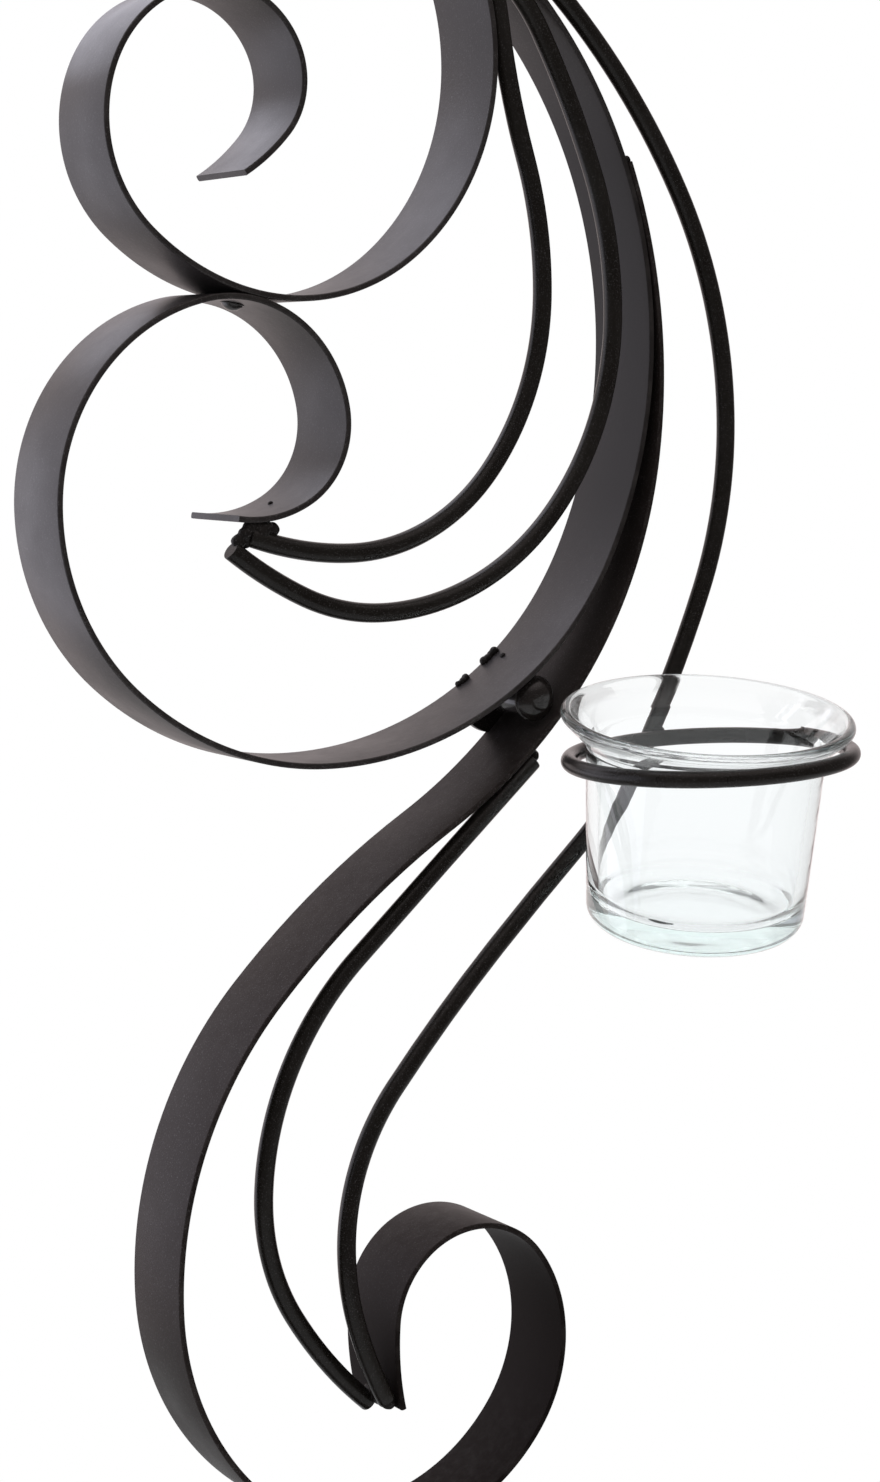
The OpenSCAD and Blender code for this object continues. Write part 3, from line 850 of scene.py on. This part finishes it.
def makeStud(s):
    headStart = ironwork["stripWidth"] - s["rise"]
    shank = s["shank"] / 2
    outline = [(0, 0), (shank - s["shankEdge"], 0), (shank, s["shankEdge"]),
               (shank, headStart - s["shoulder"]), (shank + s["shoulder"], headStart)]
    outline += [(r, z + headStart) for r, z in domeOutline(s["head"] / 2, s["rise"], s["headEdge"])]
    head = lathe("domedStud", outline, s["turns"], materials["fixingCoat"], outFromWall)
    dress(head, "body", "fixings", "domed_stud")
    inner, outer, edge = shank + s["slip"], s["sleeve"] / 2, s["sleeveEdge"]
    start, end = s["plate"] + s["slip"], headStart - s["slip"]
    tube = [(inner, start), (outer - edge, start), (outer, start + edge), (outer, end - edge),
            (outer - edge, end), (inner, end)]
    sleeve = lathe("studSleeve", tube, s["turns"], materials["sleeveCoat"], outFromWall)
    dress(sleeve, "body", "fixings", "stud_sleeve")


# a copy of a CAD node with its edges eased; angles in degrees, the rest in millimetres
easing = {"join": 0.002, "flat": 3, "corner": 40, "steps": 2, "width": 0.25}


def easedCopy(name, node, material):
    source = newObject(name + "Plain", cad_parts[node].data.copy())
    shape = bmesh.new()
    shape.from_mesh(source.data)
    bmesh.ops.remove_doubles(shape, verts=shape.verts, dist=easing["join"] * mm)
    flat = math.radians(easing["flat"])
    bmesh.ops.dissolve_limit(shape, angle_limit=flat, verts=shape.verts, edges=shape.edges)
    shape.to_mesh(source.data)
    shape.free()
    bevel = source.modifiers.new("easedEdges", "BEVEL")
    bevel.width = easing["width"] * mm
    bevel.segments = easing["steps"]
    bevel.limit_method = "ANGLE"
    bevel.angle_limit = math.radians(easing["corner"])
    bevel.use_clamp_overlap = True
    piece = settled(source, name, material)
    outward(piece)
    return piece


makeStud(stud)
wallPlate = easedCopy("wallPlate", "wall_plate", materials["fixingCoat"])
dress(wallPlate, "body", "fixings", "wall_plate")

# the round hanging eye between the tops of the upper and middle scrolls
eye = {"outside": 13.0, "hole": 6.0, "thickness": 1.6, "edge": 0.35, "above": 1.0, "turns": 64}


def makeEye(e):
    outer, inner, t, edge = e["outside"] / 2, e["hole"] / 2, e["thickness"], e["edge"]
    centres = ((outer - edge, edge), (outer - edge, t - edge), (inner + edge, t - edge), (inner + edge, edge))
    outline = []
    for i, centre in enumerate(centres):
        outline += corner(centre, edge, 90 * (i - 1), 90 * i, 4)
    x = (upperTop[0] + middleTop[0]) / 2
    z = max(upperTop[1], middleTop[1]) + inner + e["above"]
    place = Matrix.Translation((x, 0, z)) @ outFromWall
    piece = lathe("hangingEye", outline, e["turns"], materials["fixingCoat"], place)
    dress(piece, "body", "fixings", "hanging_eye")


makeEye(eye)

# the rivet through the two upper scrolls, a low dome on each side
rivet = {"shank": 2.6, "head": 4.6, "rise": 0.3, "edge": 0.18, "turns": 48}


def makeRivet(r):
    t = ironwork["stripThickness"]
    dome = domeOutline(r["head"] / 2, r["head"] * r["rise"], r["edge"], 10)
    shank = r["shank"] / 2
    outline = [(x, -0.5 * t - z) for x, z in reversed(dome)]
    outline += [(shank, -0.5 * t), (shank, 1.5 * t)]
    outline += [(x, 1.5 * t + z) for x, z in dome]
    place = (Matrix.Translation((scrollJoint[0], -ironwork["stripWidth"] / 2, scrollJoint[1])) @
             rotation(-scrollJoint[2], "Y"))
    piece = lathe("scrollRivet", outline, r["turns"], materials["fixingCoat"], place)
    dress(piece, "body", "fixings", "scroll_rivet")


makeRivet(rivet)
print("stud, plate, eye and rivet made")

# weld beads: groups of small lumps, melted into one skin; each lump is (x, depth, z, radius)
innerEnd = rods["innerRod"]["places"][-1]
crown = ((middleTop[0] + upperTop[0]) / 2, (middleTop[1] + upperTop[1]) / 2)
stepPlace = ahead(mainTop, 0.4)
ringBead = {"radius": 1.6, "aside": 1.9}
rowUneven = {"out": 0.25, "smaller": 0.12}


# a run of lumps from the back of a strip to its front
def across(x, z, back, front, count, radius):
    return [(x, back + (front - back) * i / (count - 1), z, radius) for i in range(count)]


# a row of lumps along a strip; every second one stands further out, and three sizes take turns
def along(start, bends, angles, distance, depth, radius):
    lumps = []
    for i, angle in enumerate(angles):
        x, z, heading = beside(partWay(start, bends, angle), distance)
        size = radius * (1 - rowUneven["smaller"] * (i % 3))
        lumps.append((x, depth + rowUneven["out"] * (i % 2), z, size))
    return lumps


# lumps set out from the middle of a rod's end
def aboutRod(place, lumps):
    return [(place[0] + x, rodDepth + depth, place[1] + z, radius) for x, depth, z, radius in lumps]


# a lump in the corner between the ring and the rod
def ringLump(aside):
    x, z, heading = ahead((ringJoint[0], ringJoint[1], ringJoint[2] / 2 - 90), aside)
    swing = math.radians(ring["swing"])
    return (x - rodRadius * math.sin(swing), rodDepth + rodRadius * math.cos(swing), z, ringBead["radius"])


# the strips are welded to the wall plate by short rows: (start, path, angles, side, radius), and one speck
plateRows = [(middleStart, "middleUp", (1.9, 2.8, 3.7, 4.6), -0.85, 1.05),
             (about(middleStart), "middleRound", (-2.6, -3.4, -4.3), 0.85, 0.95),
             (mainStart, "mainUp", (2.8, 3.7, 4.6), 0.85, 1.05),
             (about(mainStart), "mainDown", (-2.8, -3.7, -4.6), -0.85, 1.05)]
onPlate = 0.9
plateLumps = []
for start, bendsName, angles, side, radius in plateRows:
    plateLumps += along(start, bendsOf[bendsName], angles, side, onPlate, radius)
plateLumps += along(middleStart, bendsOf["middleUp"], (4.0,), -0.55, 4.8, 0.75)

welds = {
    "plateWelds": {"node": "plate_welds", "grain": 0.18, "lumps": plateLumps},
    "stepWeld": {"node": "step_weld", "grain": 0.2, "lumps":
                 across(stepPlace[0], stepPlace[1], 1.6, 17.4, 12, 1.15)},
    "crownWeld": {"node": "crown_weld", "grain": 0.25, "lumps":
                  across(crown[0], crown[1], 4.6, 14.4, 7, 1.95)},
    "scrollTipWeld": {"node": "scroll_tip_weld", "grain": 0.2, "lumps":
                      aboutRod(innerEnd, [(0.2, 0.2, 1.7, 1.6), (1.6, -0.3, 1.7, 1.75), (3.4, 0.1, 1.4, 1.8),
                                          (5.2, -0.2, 1.2, 1.5), (2.4, 0.4, 0.6, 1.6), (-1.0, 0.3, 0.5, 1.45),
                                          (-2.3, 0.0, -0.9, 1.5), (-0.6, -0.4, -0.8, 1.6)]) +
                      along(about(middleStart), bendsOf["middleRound"], (-372.7,), 0.5, 7.9, 0.68)},
    "bottomTipWeld": {"node": "bottom_tip_weld", "grain": 0.2, "lumps":
                      across(hold[0] - 1.2, hold[1] - 1.4, 8.9, 15.6, 6, 1.9)},
    "lowerRodWeld": {"node": "lower_rod_weld", "grain": 0.2, "lumps":
                     aboutRod(lowerPlaces[0], [(0.3, -0.6, 0.9, 1.5), (0.1, -2.0, 0.5, 1.4)])},
    "ringWeld": {"node": "ring_weld", "grain": 0.18, "lumps":
                 [ringLump(ringBead["aside"]), ringLump(-ringBead["aside"])]},
}
# a lump is turned and made uneven by chance, with broad and fine swellings of this (scale, height)
melting = {"rounds": 4, "turn": 6.28, "shift": 50, "size": 0.93, "broad": (1.7, 0.07), "fine": (5, 0.03),
           "soften": 0.6, "softenings": 6}
firstSeed = 3


def makeWeld(name, weld, seed):
    chance = random.Random(seed)
    shape = bmesh.new()
    for x, depth, z, radius in weld["lumps"]:
        middle = Vector((x, -depth, z))
        angle = chance.uniform(0, melting["turn"])
        axis = Vector((chance.uniform(-1, 1), chance.uniform(-1, 1), 1)).normalized()
        made = bmesh.ops.create_icosphere(shape, subdivisions=melting["rounds"], radius=1.0,
                                          matrix=Matrix.Rotation(angle, 4, axis))
        shift = Vector((chance.uniform(0, melting["shift"]), 0, 0))
        for v in made["verts"]:
            way = v.co.normalized()
            swell = melting["size"]
            for scale, swelling in (melting["broad"], melting["fine"]):
                swell += swelling * noise.noise(way * scale + shift)
            v.co = (middle + way * radius * swell) * mm
    source = newObject(name + "Lumps", meshOf(name + "Lumps", shape))
    melt = source.modifiers.new("melt", "REMESH")
    melt.mode = "VOXEL"
    melt.voxel_size = weld["grain"] * mm
    soften = source.modifiers.new("soften", "SMOOTH")
    soften.factor = melting["soften"]
    soften.iterations = melting["softenings"]
    piece = settled(source, name, materials["weldCoat"])
    piece.data.shade_smooth()
    dress(piece, "body", "welds", weld["node"])


for seed, (name, weld) in enumerate(welds.items(), firstSeed):
    makeWeld(name, weld, seed)
print("welds melted:", ", ".join(welds))

# a plain pale floor well below the holder, fading to the white background
studio = {"floorPlace": (0, -0.05, -0.45), "floorRadius": 0.8, "turns": 96, "fade": (0.35, 0.78, 0.55, 1.0),
          "floorColour": (0.9, 0.9, 0.9, 1)}


# 1 where the camera looks straight or through the glass
def seenByCamera(tree, path):
    return worked(tree, "MAXIMUM", path, "Is Camera Ray", path, "Is Transmission Ray")


def makeFloor(s):
    shape = bmesh.new()
    bmesh.ops.create_circle(shape, cap_ends=True, segments=s["turns"], radius=s["floorRadius"])
    floor = newObject("floor", meshOf("floor", shape))
    floor.location = s["floorPlace"]
    material, tree = newMaterial("paleFloor")
    path = addNode(tree, "ShaderNodeLightPath")
    where = addNode(tree, "ShaderNodeTexCoord")
    reach = addNode(tree, "ShaderNodeVectorMath", operation="LENGTH")
    link(tree, where, "Object", reach, 0)
    fade = ranged(tree, reach, "Value", *s["fade"], soft=True)
    white = worked(tree, "MULTIPLY", seenByCamera(tree, path), 0, fade, "Result")
    plain = addNode(tree, "ShaderNodeBsdfDiffuse", {"Color": s["floorColour"]})
    glow = addNode(tree, "ShaderNodeEmission", {"Strength": 1.0})
    mix = addNode(tree, "ShaderNodeMixShader")
    link(tree, white, 0, mix, "Fac")
    link(tree, plain, "BSDF", mix, 1)
    link(tree, glow, "Emission", mix, 2)
    output = addNode(tree, "ShaderNodeOutputMaterial")
    link(tree, mix, "Shader", output, "Surface")
    floor.data.materials.append(material)


def makeLight(name, lamp):
    data = bpy.data.lights.new(name, "AREA")
    data.shape = "DISK"
    data.size = lamp["size"]
    data.energy = lamp["power"]
    data.color = lamp["colour"]
    light = newObject(name, data)
    light.location = lamp["place"]
    light.rotation_euler = (Vector(lamp["aim"]) - Vector(lamp["place"])).to_track_quat("-Z", "Y").to_euler()
    light.visible_camera = False
    light.visible_transmission = False
    light.visible_glossy = lamp["shines"]


# a broad key and fill for the plain colours, and two soft panels behind, at the left and above,
# that the satin faces mirror
lamps = {
    "softKey": {"place": (-1.0, -0.75, 1.0), "aim": (0, 0, 0), "size": 0.9, "power": 6.0,
                "colour": (1, 1, 1), "shines": False},
    "softFill": {"place": (1.1, -0.7, 0.3), "aim": (0, 0, 0), "size": 1.2, "power": 1.5,
                 "colour": (1, 0.97, 0.94), "shines": False},
    "leftPanel": {"place": (-0.27, 0.12, 0.0), "aim": (-0.06, 0, 0.0), "size": 0.44, "power": 0.7,
                  "colour": (0.8, 0.84, 1.0), "shines": True},
    "topPanel": {"place": (-0.09, 0.12, 0.27), "aim": (-0.04, 0, 0.08), "size": 0.28, "power": 0.42,
                 "colour": (0.82, 0.85, 1.0), "shines": True},
}

# the world is white to the camera and through the glass; reflections show a pale wall behind, a pale
# ceiling and a darker room in front, all a little warm; everything gets an even soft light
sky = {"even": 0.6, "behind": (0.1, 0.75, 0.16, 1.0), "overhead": (0.45, 0.9, 0.0, 1.0),
       "plain": (1, 1, 1, 1), "warmth": (1.0, 0.88, 0.87, 1)}


def makeWorld(s):
    world = bpy.data.worlds.new("softStudio")
    world.use_nodes = True
    tree = world.node_tree
    tree.nodes.clear()
    path = addNode(tree, "ShaderNodeLightPath")
    where = addNode(tree, "ShaderNodeTexCoord")
    parts = addNode(tree, "ShaderNodeSeparateXYZ")
    link(tree, where, "Object", parts, 0)
    behind = ranged(tree, parts, "Y", *s["behind"], soft=True)
    overhead = ranged(tree, parts, "Z", *s["overhead"], soft=True)
    mirrored = worked(tree, "MAXIMUM", behind, "Result", overhead, "Result")
    glossy = mixed(tree, "FLOAT", path, "Is Glossy Ray", {"A_Float": s["even"]})
    link(tree, mirrored, 0, glossy, "B_Float")
    seen = seenByCamera(tree, path)
    strength = mixed(tree, "FLOAT", seen, 0, {"B_Float": 1.0})
    link(tree, glossy, "Result_Float", strength, "A_Float")
    mirrorOnly = worked(tree, "SUBTRACT", path, "Is Glossy Ray", seen, 0)
    mirrorOnly.use_clamp = True
    warm = mixed(tree, "RGBA", mirrorOnly, 0, {"A_Color": s["plain"], "B_Color": s["warmth"]})
    backdrop = addNode(tree, "ShaderNodeBackground")
    link(tree, warm, "Result_Color", backdrop, "Color")
    link(tree, strength, "Result_Float", backdrop, "Strength")
    output = addNode(tree, "ShaderNodeOutputWorld")
    link(tree, backdrop, "Background", output, "Surface")
    bpy.context.scene.world = world


makeFloor(studio)
for name, lamp in lamps.items():
    makeLight(name, lamp)
makeWorld(sky)
bpy.context.scene.view_settings.view_transform = "Standard"
print("floor, lamps and world set")
